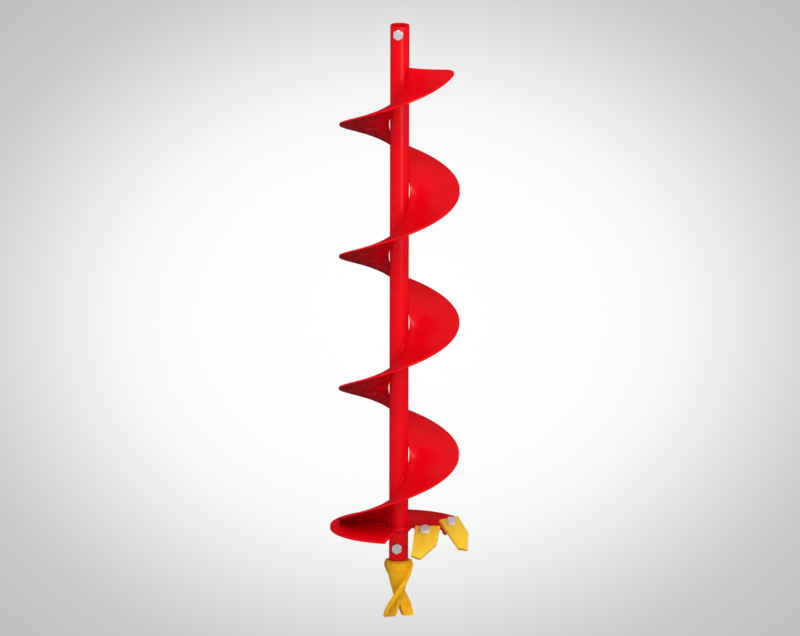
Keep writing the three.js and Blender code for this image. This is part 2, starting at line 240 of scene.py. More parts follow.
class AugerWeldSettings(bpy.types.PropertyGroup):
    first: angle("First stitch", -82, "Angle of the middle of the lowest stitch weld")
    spacing: angle("Spacing", 180, "Angle from one stitch weld to the next")
    sweep: angle("Sweep", 64, "Angle that a stitch weld runs through")
    bead: distance("Bead", 2.3 * MM, "Radius of a weld bead")
    ring_bead: distance("Ring bead", 2.6 * MM, "Radius of the bead under the head disc")
    ripple: distance("Ripple", 2.6 * MM, "Distance between a bead's ripples")
    relief: share("Relief", 0.14, "Depth of the ripples as a share of the bead")
    rim_relief: distance("Rim relief", 3 * MM, "Length left bare where a bead nears the rim")


class AugerFinishSettings(bpy.types.PropertyGroup):
    red: colour("Red", (0.74, 0.0, 0.005), "Red enamel")
    red_shade: colour("Red shade", (0.66, 0.0, 0.004), "Darker tone in the red enamel")
    # Painted shade: the dark red given to faces that look down, in streaks.
    red_under: colour("Red underneath", (0.2, 0.001, 0.003), "Thin red enamel on undersides")
    yellow: colour("Yellow", (0.81, 0.55, 0.035), "Yellow enamel")
    yellow_shade: colour("Yellow shade", (0.84, 0.43, 0.02), "Deeper tone in the yellow enamel")
    amber: colour("Amber", (0.81, 0.42, 0.008), "Enamel of the pilot point")
    amber_shade: colour("Amber shade", (0.64, 0.26, 0.004), "Deeper tone of the pilot point")
    # Painted shade: the dark brown given to yellow and amber faces that look down, in streaks.
    brown: colour("Brown", (0.38, 0.16, 0.01), "Thin yellow enamel on undersides")
    zinc: colour("Zinc", (0.90, 0.91, 0.92), "Zinc plating")
    zinc_shade: colour("Zinc shade", (0.66, 0.67, 0.69), "Duller tone in the zinc plating")


class AugerStageSettings(bpy.types.PropertyGroup):
    azimuth: angle("Azimuth", 8, "Camera's turn to the right of the auger's front")
    elevation: angle("Elevation", 13.74, "Camera's height above the horizon")
    roll: angle("Roll", 0.14, "Camera's lean")
    width: distance("View width", 1120 * MM, "Width of the camera's view")
    height: distance("View height", 890.4 * MM, "Height of the camera's view")
    aim: number("Aim", -0.4226, "Height that the camera looks at, in metres")
    side: distance("Side", 1.2 * MM, "How far right of the tube the camera looks")
    reach: distance("Camera distance", 3, "Distance from the camera to the tube")
    floor_drop: distance("Floor drop", 120 * MM, "How far the floor lies under the pilot point")
    floor_radius: distance("Floor radius", 9, "Radius of the floor")
    key: number("Key light", 9, "Power of the small softbox high in front, in watts")
    side_light: number("Side light", 17, "Power of the broad softbox at the right, in watts")
    sky: number("Front", 0.94, "Brightness of the studio above and in front")
    ground: number("Back", 0.8, "Brightness of the studio behind and below")
    mirrored: share("Mirrored", 0.3, "Share of the studio's brightness that gloss reflects")
    backdrop: number("Backdrop", 0.8, "Brightness of the studio past the floor")


SETTINGS = {
    "auger_tube": AugerTubeSettings,
    "auger_flight": AugerFlightSettings,
    "auger_head": AugerHeadSettings,
    "auger_pilot": AugerPilotSettings,
    "auger_fasteners": AugerFastenerSettings,
    "auger_welds": AugerWeldSettings,
    "auger_finish": AugerFinishSettings,
    "auger_stage": AugerStageSettings,
}


# ---- node trees ----


def wire(value, slot):
    """Links a field or socket into a slot, or sets the slot to a plain value."""
    if isinstance(value, Field):
        value = value.socket
    if isinstance(value, bpy.types.NodeSocket):
        slot.id_data.links.new(value, slot)
    elif value is not None:
        slot.default_value = value


def add(tree, kind, slots=(), **settings):
    made = tree.nodes.new(kind)
    for key, value in settings.items():
        setattr(made, key, value)
    for key, value in dict(slots).items():
        wire(value, made.inputs[key])
    return made


class Field:
    """A socket that carries a number, with arithmetic that adds Math nodes to its tree."""

    def __init__(self, socket):
        self.socket = socket

    def maths(self, operation, *others):
        made = add(self.socket.id_data, "ShaderNodeMath", operation=operation)
        for value, slot in zip((self, *others), made.inputs):
            wire(value, slot)
        return Field(made.outputs[0])

    def flipped(self, operation, other):
        made = add(self.socket.id_data, "ShaderNodeMath", {0: other, 1: self}, operation=operation)
        return Field(made.outputs[0])

    def __add__(self, other):
        return self.maths("ADD", other)

    def __sub__(self, other):
        return self.maths("SUBTRACT", other)

    def __mul__(self, other):
        return self.maths("MULTIPLY", other)

    def __truediv__(self, other):
        return self.maths("DIVIDE", other)

    def __radd__(self, other):
        return self.flipped("ADD", other)

    def __rsub__(self, other):
        return self.flipped("SUBTRACT", other)

    def __rmul__(self, other):
        return self.flipped("MULTIPLY", other)


SOCKETS = {
    float: "NodeSocketFloat", int: "NodeSocketInt", "material": "NodeSocketMaterial",
    "mesh": "NodeSocketGeometry",
}


def new_geometry_tree(name, inputs):
    """An empty Geometry Nodes tree, and its named inputs as fields, the piece's own mesh first."""
    tree = bpy.data.node_groups.new(name, "GeometryNodeTree")
    tree.is_modifier = True
    tree.interface.new_socket("Path", in_out="INPUT", socket_type=SOCKETS["mesh"])
    for label, value in inputs.items():
        kind = SOCKETS["material" if value is None else type(value)]
        socket = tree.interface.new_socket(label, in_out="INPUT", socket_type=kind)
        if value is not None:
            socket.default_value = value
    tree.interface.new_socket("Mesh", in_out="OUTPUT", socket_type=SOCKETS["mesh"])
    sockets = add(tree, "NodeGroupInput").outputs
    return tree, {socket.name: Field(socket) for socket in sockets if socket.name}


def end_tree(tree, mesh, material):
    real = add(tree, "GeometryNodeRealizeInstances", {"Geometry": mesh})
    painted = add(tree, "GeometryNodeSetMaterial",
                  {"Geometry": real.outputs[0], "Material": material})
    output = tree.nodes.new("NodeGroupOutput")
    tree.links.new(painted.outputs[0], output.inputs[0])
    return tree


def parts_of(tree, vector):
    """The x, y and z of a vector's socket, as fields."""
    split = add(tree, "ShaderNodeSeparateXYZ", {"Vector": vector})
    return [Field(socket) for socket in split.outputs]


def position(tree):
    return parts_of(tree, add(tree, "GeometryNodeInputPosition").outputs[0])


def move(tree, mesh, x, y, z):
    there = add(tree, "ShaderNodeCombineXYZ", {"X": x, "Y": y, "Z": z})
    moved = add(tree, "GeometryNodeSetPosition",
                {"Geometry": mesh, "Position": there.outputs[0]})
    return moved.outputs[0]


def polar(radius, turn):
    return radius * turn.maths("COSINE"), radius * turn.maths("SINE")


def out_and_turn(x, y):
    """The distance from the upright axis, and the angle round it."""
    return (x * x + y * y).maths("SQRT"), y.maths("ARCTAN2", x)


def flight_tree():
    """A plate wound round the upright axis: a block bent so that each point follows the helix."""
    tree, given = new_geometry_tree("Helical flight", {
        "Low Angle": 0.0, "Sweep": 6.28, "Zero Height": 0.0, "Pitch": 0.19, "End Skew": 0.0,
        "Inner Radius": 0.0142, "Outer Radius": 0.0845, "Plate": 0.0025, "Corner": 0.0,
        "Floor Height": -1.0, "Steps": 420, "Columns": 14, "Easing": 0.02, "Material": None,
    })
    block = add(tree, "GeometryNodeMeshCube", {
        "Vertices X": given["Columns"], "Vertices Y": given["Steps"], "Vertices Z": 2,
    })
    x, y, z = position(tree)
    along = y + 0.5
    eased = along * along / (along + given["Easing"]) * (1 + given["Easing"])
    left = given["Sweep"] * (1 - eased)
    turn = given["Low Angle"] + given["Sweep"] - left
    corner = given["Corner"]
    short = (corner - left * given["Outer Radius"]).maths("MAXIMUM", 0)
    outer = given["Outer Radius"] - corner + (corner * corner - short * short).maths("SQRT")
    radius = given["Inner Radius"] + (outer - given["Inner Radius"]) * (x + 0.5)
    turn = turn - given["End Skew"] * (0.5 - x) * eased.maths("POWER", SKEW_POWER)
    slope = given["Pitch"] / (radius * FULL_TURN)
    upright = given["Plate"] * (slope * slope + 1).maths("SQRT")
    height = given["Zero Height"] + given["Pitch"] * turn / FULL_TURN + upright * z
    bent = move(tree, block.outputs["Mesh"], *polar(radius, turn),
                height.maths("MAXIMUM", given["Floor Height"]))
    return end_tree(tree, bent, given["Material"])


def bead_tree():
    """A rippled weld bead laid along a path, thinner where an open bead starts and stops."""
    tree, given = new_geometry_tree("Weld bead", {
        "Bead": 0.0023, "Ripple": 0.0026, "Relief": 0.14, "Open Ends": 1.0, "Step": 0.0004,
        "Seed": 0.0, "Material": None,
    })
    path = add(tree, "GeometryNodeMeshToCurve", {"Mesh": given["Path"]})
    steps = add(tree, "GeometryNodeResampleCurve",
                {"Curve": path.outputs[0], "Length": given["Step"]}, mode="LENGTH")
    gone = Field(add(tree, "GeometryNodeSplineParameter").outputs["Length"])
    whole = Field(add(tree, "GeometryNodeSplineLength").outputs["Length"])
    wave = (gone * math.pi / given["Ripple"]).maths("SINE").maths("ABSOLUTE")
    rippled = 1 - given["Relief"] * (1 - wave)
    to_end = (gone.maths("MINIMUM", whole - gone) / given["Bead"]).maths("MINIMUM", 1)
    near = to_end.maths("MAXIMUM", 0).maths("SQRT")
    ends = 1 - given["Open Ends"] * (END_THINNING - END_THINNING * near)
    uneven = add(tree, "ShaderNodeTexNoise", {"W": given["Seed"], "Scale": 320.0, "Detail": 2.0},
                 noise_dimensions="4D")
    swell = 1 - UNEVENNESS / 2 + UNEVENNESS * Field(uneven.outputs["Fac"])
    size = given["Bead"] * rippled * ends * swell
    section = add(tree, "GeometryNodeCurvePrimitiveCircle", {"Resolution": 14, "Radius": 1.0})
    bead = add(tree, "GeometryNodeCurveToMesh", {
        "Curve": steps.outputs[0], "Profile Curve": section.outputs[0], "Scale": size,
        "Fill Caps": True,
    })
    return end_tree(tree, bead.outputs[0], given["Material"])


def hexagon_block(tree, flats, height, chamfer_low):
    """A hexagon standing on z = 0, its corners chamfered on top, and below too if wanted."""
    block = add(tree, "GeometryNodeMeshCylinder", {"Vertices": 48, "Fill Segments": 2},
                fill_type="TRIANGLE_FAN")
    x, y, z = position(tree)
    out, turn = out_and_turn(x, y)
    sixth = FULL_TURN / 6
    within = (turn + FULL_TURN + sixth / 2).maths("FLOORED_MODULO", sixth) - sixth / 2
    half = flats / 2
    edge = half / within.maths("COSINE")
    face = half * FACE_SHARE
    # The block's inner ring of points, at half its radius, becomes the rim of the round face.
    on_edge = out.maths("GREATER_THAN", 0.75)
    radius = on_edge * edge + (1 - on_edge) * out * 2 * face
    drop = on_edge * (edge - face) * CHAMFER_SLOPE
    top = z.maths("GREATER_THAN", 0)
    level = top * (height - drop) + (1 - top) * drop * chamfer_low
    return move(tree, block.outputs["Mesh"], *polar(radius, turn), level)


def bolt_tree():
    """A hexagon bolt whose head stands on z = 0, with a thread down its shank."""
    tree, given = new_geometry_tree("Hexagon bolt", {
        "Across Flats": 0.013, "Head": 0.0053, "Radius": 0.004, "Length": 0.04,
        "Thread Pitch": 0.00125, "Thread Depth": 0.0006, "Rows": 260, "Material": None,
    })
    head = hexagon_block(tree, given["Across Flats"], given["Head"], 0)
    shank = add(tree, "GeometryNodeMeshCylinder", {
        "Vertices": 36, "Side Segments": given["Rows"], "Radius": 1.0, "Depth": 1.0,
    }, fill_type="TRIANGLE_FAN")
    x, y, z = position(tree)
    out, turn = out_and_turn(x, y)
    down = (0.5 - z) * (given["Length"] + given["Head"] / 2)
    level = given["Head"] / 2 - down
    phase = (level / given["Thread Pitch"] - turn / FULL_TURN).maths("FLOORED_MODULO", 1)
    tooth = (phase - 0.5).maths("ABSOLUTE") * FLANK - CREST
    tooth = tooth.maths("MAXIMUM", 0).maths("MINIMUM", 1)
    end = (level + given["Length"]).maths("MINIMUM", given["Thread Depth"])
    thinned = given["Thread Depth"] * tooth.maths("MAXIMUM", 1 - end / given["Thread Depth"])
    radius = out * (given["Radius"] - thinned)
    threaded = move(tree, shank.outputs["Mesh"], *polar(radius, turn), level)
    whole = add(tree, "GeometryNodeMeshBoolean", operation="UNION", solver="EXACT")
    for part in (head, threaded):
        tree.links.new(part, whole.inputs["Mesh 2"])
    return end_tree(tree, whole.outputs["Mesh"], given["Material"])


def nut_tree():
    """A hexagon nut standing on z = 0, chamfered on both faces, with a plain bore."""
    tree, given = new_geometry_tree("Hexagon nut", {
        "Across Flats": 0.013, "Nut": 0.0065, "Bore": 0.00406, "Material": None,
    })
    block = hexagon_block(tree, given["Across Flats"], given["Nut"], 1)
    bore = add(tree, "GeometryNodeMeshCylinder", {
        "Vertices": 48, "Radius": given["Bore"], "Depth": given["Nut"] * 4,
    })
    bored = add(tree, "GeometryNodeMeshBoolean", {"Mesh 1": block}, operation="DIFFERENCE",
                solver="EXACT")
    tree.links.new(bore.outputs["Mesh"], bored.inputs["Mesh 2"])
    return end_tree(tree, bored.outputs["Mesh"], given["Material"])


def tree_of(build):
    """The node tree that a builder makes, made once."""
    found = next((tree for tree in bpy.data.node_groups if build.__name__ in tree), None)
    if found is None:
        found = build()
        found[build.__name__] = True
    return found


# ---- meshes ----


def new_piece(name, mesh):
    piece = bpy.data.objects.new(name, mesh)
    bpy.context.scene.collection.objects.link(piece)
    return piece


def piece_from(name, shape):
    mesh = bpy.data.meshes.new(name)
    shape.to_mesh(mesh)
    shape.free()
    return new_piece(name, mesh)


def settle(piece):
    """Turns a piece's modifiers into its plain mesh."""
    bpy.context.view_layer.update()
    graph = bpy.context.evaluated_depsgraph_get()
    mesh = bpy.data.meshes.new_from_object(piece.evaluated_get(graph))
    piece.modifiers.clear()
    spare = piece.data
    piece.data = mesh
    bpy.data.meshes.remove(spare)
    mesh.name = piece.name
    if not mesh.polygons:
        raise RuntimeError(f"{piece.name} came out empty")
    return piece


def grown(name, build, node, **values):
    """A piece that a Geometry Nodes tree makes in a node's finish, with _ for a space in inputs."""
    return grow(new_piece(name, bpy.data.meshes.new(name)), build, node, **values)


def grow(piece, build, node, **values):
    """Runs a Geometry Nodes tree on a piece, in a node's finish."""
    tree = tree_of(build)
    modifier = piece.modifiers.new(tree.name, "NODES")
    modifier.node_group = tree
    known = {item.name: item.identifier for item in tree.interface.items_tree
             if item.in_out == "INPUT"}
    modifier[known["Material"]] = finish_for(node)
    for key, value in values.items():
        modifier[known[key.replace("_", " ")]] = value
    return settle(piece)


def bevelled(piece, width, limit=40, segments=2):
    bevel = piece.modifiers.new("Bevel", "BEVEL")
    bevel.width = width
    bevel.segments = segments
    bevel.angle_limit = math.radians(limit)
    return settle(piece)


def cut(piece, cutter):
    """Takes a cutter's volume out of a piece and removes the cutter."""
    boolean = piece.modifiers.new("Cut", "BOOLEAN")
    boolean.operation = "DIFFERENCE"
    boolean.solver = "EXACT"
    boolean.object = cutter
    settle(piece)
    bpy.data.objects.remove(cutter)
    return piece


def smooth(piece, limit=32):
    """Shades the piece smooth, but sharp where its faces meet at more than a limit."""
    mesh = piece.data
    mesh.shade_smooth()
    mesh.set_sharp_from_angle(angle=math.radians(limit))
    return piece


def ring(radius, height, sides):
    steps = (FULL_TURN * i / sides for i in range(sides))
    return [(radius * math.cos(turn), radius * math.sin(turn), height) for turn in steps]


def skin(rings, closed=False):
    """A shape over rings of points: shut at both ends, or joined round on itself if closed."""
    shape = bmesh.new()
    loops = [[shape.verts.new(point) for point in points] for points in rings]
    pairs = list(zip(loops, loops[1:])) + ([(loops[-1], loops[0])] if closed else [])
    for low, high in pairs:
        for i, corner in enumerate(low):
            shape.faces.new((low[i - 1], corner, high[i], high[i - 1]))
    if not closed:
        shape.faces.new(loops[0])
        shape.faces.new(loops[-1])
    bmesh.ops.recalc_face_normals(shape, faces=shape.faces)
    return shape


def rounded_wall(inner, outer, low, high, rim, steps=3):
    """The closed section of a round wall, as (radius, height), with rounded rims."""
    corners = (
        (outer, low, -1, 1, -90), (outer, high, -1, -1, 0),
        (inner, high, 1, -1, 90), (inner, low, 1, 1, 180),
    )
    section = []
    for radius, height, inward, upward, start in corners:
        for i in range(steps + 1):
            turn = math.radians(start + 90 * i / steps)
            section.append((radius + rim * (inward + math.cos(turn)),
                            height + rim * (upward + math.sin(turn))))
    return section


def turned(section, sides):
    return skin([ring(radius, height, sides) for radius, height in section], closed=True)


def cross_hole(radius, height):
    """A cutter: a cylinder along y, at a height."""
    reach = TUBE_RADIUS * 2
    shape = skin([ring(radius, end, 48) for end in (-reach, reach)])
    shape.transform(Matrix.Rotation(math.pi / 2, 4, "X"))
    shape.transform(Matrix.Translation((0, 0, height)))
    return piece_from("cutter", shape)


def copy_of_node(name, node):
    """A node's own mesh as a new piece, its corners merged and its flat faces whole."""
    shape = bmesh.new()
    shape.from_mesh(frame["nodes"][node].data)
    bmesh.ops.remove_doubles(shape, verts=shape.verts, dist=0.01 * MM)
    bmesh.ops.dissolve_limit(shape, angle_limit=math.radians(0.5), verts=shape.verts,
                             edges=shape.edges)
    return piece_from(name, shape)


def path_piece(name, points, closed=False):
    shape = bmesh.new()
    corners = [shape.verts.new(point) for point in points]
    for pair in zip(corners, corners[1:]):
        shape.edges.new(pair)
    if closed:
        shape.edges.new((corners[-1], corners[0]))
    return piece_from(name, shape)


def place(piece, *nodes):
    """Paints a finished piece in its finish, gives it its body, and hides the nodes that it replaces."""
    piece.data.materials.clear()
    piece.data.materials.append(finish_for(nodes[0]))
    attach(piece, BODY_OF[nodes[0]])
    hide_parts(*nodes)


def middle(node):
    low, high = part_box(node)
    return (low + high) / 2


def corners_of(node):
    """The corners of a node's own mesh."""
    return [Vector(vertex.co) for vertex in frame["nodes"][node].data.vertices]


# ---- finishes ----


def object_place(tree, scale=(1, 1, 1)):
    place_node = add(tree, "ShaderNodeTexCoord")
    mapped = add(tree, "ShaderNodeMapping",
                 {"Vector": place_node.outputs["Object"], "Scale": scale})
    return mapped.outputs[0]


def noise(tree, scale, detail=2.0, stretch=(1, 1, 1)):
    made = add(tree, "ShaderNodeTexNoise", {
        "Vector": object_place(tree, stretch), "Scale": scale, "Detail": detail,
    })
    return Field(made.outputs["Fac"])


def ramped(value, low, high):
    """0 below low, 1 above high, and a straight change between them."""
    return ((value - low) / (high - low)).maths("MAXIMUM", 0).maths("MINIMUM", 1)


def new_finish(name):
    material = bpy.data.materials.new(name)
    material.use_nodes = True
    tree = material.node_tree
    return material, tree, tree.nodes["Principled BSDF"]


def blend(tree, amount, first, second):
    """A colour between two, each a plain colour or a socket."""
    mixed = add(tree, "ShaderNodeMix", data_type="RGBA")
    for value, slot in ((amount, 0), (first, 6), (second, 7)):
        wire((*value, 1) if isinstance(value, Color) else value, mixed.inputs[slot])
    return mixed.outputs[2]


def streaks(tree):
    """Streaks that run round the upright axis, which break up the painted shade on faces that look down."""
    x, y, z = parts_of(tree, object_place(tree))
    out, turn = out_and_turn(x, y)
    x, y = polar(STREAK_CURL, turn)
    lane = add(tree, "ShaderNodeCombineXYZ", {"X": x, "Y": y, "Z": out * STREAK_REACH + z})
    made = add(tree, "ShaderNodeTexNoise",
               {"Vector": lane.outputs[0], "Scale": 130.0, "Detail": 4.0})
    return Field(made.outputs["Fac"])


def enamel(name, main, shade, under, gloss):
    """Sprayed enamel: a faint change of tone, orange peel, and painted shade in streaks on faces that look down.
    """
    material, tree, shader = new_finish(name)
    tone = noise(tree, BLOTCHES, 4.0) * 0.5 + noise(tree, SPECKS, 3.0) * 0.5
    colour_here = blend(tree, ramped(tone, *TONE_SHOWN), main, shade)
    # Painted shade: faces that look down are darkened towards the under colour, in streaks.
    _, _, upward = parts_of(tree, add(tree, "ShaderNodeNewGeometry").outputs["Normal"])
    painted_shade_amount = ramped(upward * -1, *DOWNWARD) * ramped(streaks(tree), *STREAKS_SHOWN)
    colour_here = blend(tree, painted_shade_amount, colour_here, under)
    wire(colour_here, shader.inputs["Base Color"])
    roughness, specular = gloss
    wire(noise(tree, 60.0, 3.0) * GLOSS_SPREAD + (roughness - GLOSS_SPREAD / 2),
         shader.inputs["Roughness"])
    shader.inputs["Specular IOR Level"].default_value = specular
    peel = add(tree, "ShaderNodeBump", {
        "Height": noise(tree, 420.0, 2.0) + noise(tree, 90.0, 2.0) * 1.5, "Strength": 0.25,
        "Distance": PEEL,
    })
    wire(peel.outputs[0], shader.inputs["Normal"])
    return material


def zinc_plate(name, main, shade):
    """Bright zinc plating: a cloudy metal with fine tool marks."""
    material, tree, shader = new_finish(name)
    wire(blend(tree, noise(tree, 160.0, 4.0), main, shade), shader.inputs["Base Color"])
    shader.inputs["Metallic"].default_value = ZINC_METAL
    wire(noise(tree, 700.0, 3.0) * 0.2 + 0.2, shader.inputs["Roughness"])
    marks = add(tree, "ShaderNodeBump", {
        "Height": noise(tree, 900.0, 3.0, (1, 1, 5)), "Strength": 0.3, "Distance": ZINC_MARKS,
    })
    wire(marks.outputs[0], shader.inputs["Normal"])
    return material


def finish_for(node):
    """The material of a node's finish, made when it is first asked for."""
    chosen = bpy.context.scene.auger_finish
    name = "amber_spray" if node == "pilot_point" else FINISH_OF[SLOT_OF[node]]
    found = bpy.data.materials.get(name)
    if found is not None:
        return found
    if name == "zinc_plate":
        return zinc_plate(name, chosen.zinc, chosen.zinc_shade)
    tones = {
        "red_spray": (chosen.red, chosen.red_shade, chosen.red_under, RED_GLOSS),
        "yellow_spray": (chosen.yellow, chosen.yellow_shade, chosen.brown, YELLOW_GLOSS),
        "amber_spray": (chosen.amber, chosen.amber_shade, chosen.brown, YELLOW_GLOSS),
    }
    return enamel(name, *tones[name])


# ---- pieces ----


def build_tube(chosen):
    section = rounded_wall(TUBE_RADIUS - chosen.wall, TUBE_RADIUS, TUBE_LOW.z, TUBE_HIGH.z,
                           chosen.rim)
    tube = piece_from("tube", turned(section, chosen.sides))
    for bolt in ("drive_bolt", "pilot_bolt"):
        cut(tube, cross_hole(chosen.hole, middle(bolt).z))
    place(smooth(tube), *TUBE_NODES)


def zero_height(chosen):
    """Height of the flight's middle surface at an angle of nought."""
    return DISC_TOP + chosen.rise - chosen.pitch * chosen.start / FULL_TURN


def build_flight(chosen):
    low = chosen.start
    for node in FLIGHT_NODES:
        last = node == FLIGHT_NODES[-1]
        sweep = chosen.low_sweep if node == FLIGHT_NODES[0] else FULL_TURN - last * chosen.trim
        section = grown(
            node.replace("_section", "").replace("_turn", ""), flight_tree, node,
            Low_Angle=low, Sweep=sweep, Zero_Height=zero_height(chosen), Pitch=chosen.pitch,
            End_Skew=last * chosen.skew, Inner_Radius=TUBE_RADIUS + chosen.root_gap,
            Outer_Radius=chosen.radius, Plate=chosen.plate, Corner=last * chosen.corner,
            Floor_Height=DISC_TOP, Steps=round(chosen.stations * sweep / FULL_TURN),
            Columns=chosen.columns,
        )
        bevelled(section, chosen.edge, limit=60)
        place(smooth(section), node)
        low += sweep


def build_disc(chosen):
    disc = bevelled(copy_of_node("disc", "head_disc"), chosen.edge, limit=30)
    place(smooth(disc), "head_disc")


def build_blades(chosen):
    for side in ("inner", "outer"):
        node = f"{side}_blade"
        blade = bevelled(copy_of_node(f"{side}_cutter", node), chosen.blade_edge, limit=45)
        place(smooth(blade), node)


def cone_radius(chosen, depth):
    if depth < chosen.lip_depth:
        return chosen.top + (chosen.lip - chosen.top) * depth / chosen.lip_depth
    return chosen.cone * max(1 - (depth / chosen.cone_depth) ** chosen.cone_power, 0)


def quarter(chosen, cone, wide):
    """Points round a quarter of the pilot point's section, from the plate's edge to its face.

    The plate's corner and its root in the cone each have a point of their own.
    """
    corner = math.asin(chosen.plate / wide)
    root = min(math.asin(chosen.plate / max(cone, chosen.plate)), WIDEST_ROOT)
    stops = ((0, 0), (chosen.sides * 2 // 9, corner), (chosen.sides * 5 // 9, root),
             (chosen.sides, math.pi / 2))
    for (first, low), (last, high) in zip(stops, stops[1:]):
        for i in range(first, last):
            at = low + (high - low) * (i - first) / (last - first)
            out = max(cone, min(wide, chosen.plate / max(math.sin(at), 1e-6)))
            yield out * math.cos(at), out * math.sin(at)
    yield 0, max(cone, chosen.plate)


def pilot_ring(chosen, depth, length, top):
    """One section of the cone and the twisted plate through it, at a depth under the tube."""
    relief = chosen.relief * max(1 - depth / chosen.relief_depth, 0)
    wide = chosen.width - relief + chosen.spread * (depth / length) ** 3
    right = list(quarter(chosen, cone_radius(chosen, depth), wide))
    half = right + [(-u, v) for u, v in right[-2::-1]]
    whole = half + [(-u, -v) for u, v in half[1:-1]]
    turn = Matrix.Rotation(-chosen.twist * depth / length, 3, "Z")
    return [turn @ Vector((u, v, 0)) + UP * (top - depth) for u, v in whole]


def pilot_notch(chosen, length, top):
    """The wedge that splits the bar's end into two prongs."""
    side = chosen.notch * chosen.flare
    deep = -chosen.notch_depth * chosen.flare
    wedge = [(0, 0), (-side, deep), (side, deep)]
    reach = chosen.width * 2
    shape = skin([[(x, y, z) for x, z in wedge] for y in (-reach, reach)])
    shape.transform(Matrix.Rotation(-chosen.twist * (1 - chosen.notch_depth / 2 / length), 4, "Z"))
    shape.transform(Matrix.Translation((0, 0, top - length + chosen.notch_depth)))
    return piece_from("cutter", shape)


def build_pilot(chosen):
    low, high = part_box("pilot_point")
    top = TUBE_LOW.z - CONE_GAP
    length = top - low.z
    sides = chosen.sides * 4
    shank = [ring(chosen.shank - SHANK_EASE, high.z, sides),
             ring(chosen.shank, high.z - SHANK_EASE, sides), ring(chosen.shank, top, sides)]
    depths = [length * i / chosen.steps for i in range(chosen.steps + 1)] + [chosen.lip_depth]
    bar = [pilot_ring(chosen, depth, length, top) for depth in sorted(depths)]
    pilot = piece_from("pilot", skin(shank + bar))
    cut(pilot, pilot_notch(chosen, length, top))
    bevelled(pilot, chosen.edge, limit=50)
    cut(pilot, cross_hole(bpy.context.scene.auger_tube.hole, middle("pilot_bolt").z))
    place(smooth(pilot, 40), "pilot_point")


def bolt_line(name):
    """Where a bolt's head sits, the way its head faces, and its length under the head."""
    chosen = bpy.context.scene.auger_fasteners
    bolt = f"{name}_bolt"
    if name in JOINT_OF:
        joint = JOINT_OF[name]
        out = Vector(joint["axis"])
        centre = Vector(joint["pos_m"])
        reach = max((corner - centre).dot(out) for corner in corners_of(bolt))
        return centre + out * (reach - chosen.head), out, chosen.blade_length
    low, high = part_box(bolt)
    seat = Vector((0, low.y + chosen.head, (low.z + high.z) / 2))
    return seat, AHEAD, high.y - seat.y


def on_line(point, out):
    """The matrix that takes z to a bolt's direction and x, a flat's middle, to level."""
    side = UP.cross(out).normalized()
    axes = Matrix((side, out.cross(side), out)).transposed().to_4x4()
    return Matrix.Translation(point) @ axes


def span_of(node, point, out):
    """How far a node reaches along a bolt's line, from its lower end to its upper one."""
    along = [(corner - point).dot(out) for corner in corners_of(node)]
    return min(along), max(along)


def build_bolts(chosen):
    for name in FASTENED:
        point, out, length = bolt_line(name)
        node = f"{name}_bolt"
        bolt = grown(f"{name}_hex_bolt", bolt_tree, node, Across_Flats=chosen.flats,
                     Head=chosen.head, Radius=chosen.shank, Length=length,
                     Thread_Pitch=chosen.thread_pitch, Thread_Depth=chosen.thread_depth,
                     Rows=round(length / chosen.thread_pitch * ROWS_PER_THREAD))
        bolt.data.transform(on_line(point, out))
        place(smooth(bolt, 28), node)


def build_nuts(chosen):
    for name in FASTENED:
        point, out, _ = bolt_line(name)
        node = f"{name}_nut"
        nut = grown(f"{name}_hex_nut", nut_tree, node, Across_Flats=chosen.flats,
                    Nut=chosen.nut, Bore=chosen.bore)
        nut.data.transform(on_line(point + out * span_of(node, point, out)[0], out))
        place(smooth(nut, 28), node)


def build_washers(chosen):
    for name in FASTENED:
        point, out, _ = bolt_line(name)
        node = f"{name}_washer"
        low, high = span_of(node, point, out)
        offsets = [corner - point for corner in corners_of(node)]
        radius = max((offset - out * offset.dot(out)).length for offset in offsets)
        section = rounded_wall(chosen.washer_bore, radius, low, high, WASHER_EASE)
        washer = piece_from(f"{name}_flat_washer", turned(section, 64))
        washer.data.transform(on_line(point, out))
        place(smooth(washer), node)


def bead(name, points, node, size, seed, closed=False):
    chosen = bpy.context.scene.auger_welds
    piece = grow(path_piece(name, points, closed), bead_tree, node, Bead=size,
                 Ripple=chosen.ripple, Relief=chosen.relief, Open_Ends=float(not closed),
                 Seed=float(seed))
    place(smooth(piece, 60), node)


def stitch_points(chosen, number):
    """The corner between the tube and the flight's upper face, over one stitch."""
    flight = bpy.context.scene.auger_flight
    radius = TUBE_RADIUS + chosen.bead * BEAD_SEAT
    slope = flight.pitch / (FULL_TURN * radius)
    seat = flight.plate / 2 * math.hypot(1, slope) + chosen.bead * BEAD_SEAT
    steps = 48
    for i in range(steps + 1):
        at = chosen.first + chosen.spacing * number + chosen.sweep * (i / steps - 0.5)
        height = zero_height(flight) + flight.pitch * at / FULL_TURN + seat
        yield radius * math.cos(at), radius * math.sin(at), height


def landing_points(chosen):
    """The line on the head disc where the flight's lowest end lands."""
    flight = bpy.context.scene.auger_flight
    spin = Matrix.Rotation(flight.start, 3, "Z")
    behind, above = (chosen.bead * seat for seat in LANDING_SEAT)
    low, high = TUBE_RADIUS + chosen.bead, flight.radius - chosen.rim_relief
    steps = 40
    for i in range(steps + 1):
        yield spin @ Vector((low + (high - low) * i / steps, -behind, DISC_TOP + above))


def build_welds(chosen):
    for number in range(STITCH_COUNT):
        node = f"stitch_weld_{number + 1}"
        bead(f"stitch_bead_{number + 1}", stitch_points(chosen, number), node, chosen.bead, number)
    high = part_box("disc_ring_weld")[1]
    seat = chosen.ring_bead * BEAD_SEAT
    around = ring(TUBE_RADIUS + seat, high.z - seat, 96)
    bead("ring_bead", around, "disc_ring_weld", chosen.ring_bead, STITCH_COUNT, closed=True)
    bead("landing_bead", landing_points(chosen), "landing_weld", chosen.bead, STITCH_COUNT + 1)


# ---- studio ----


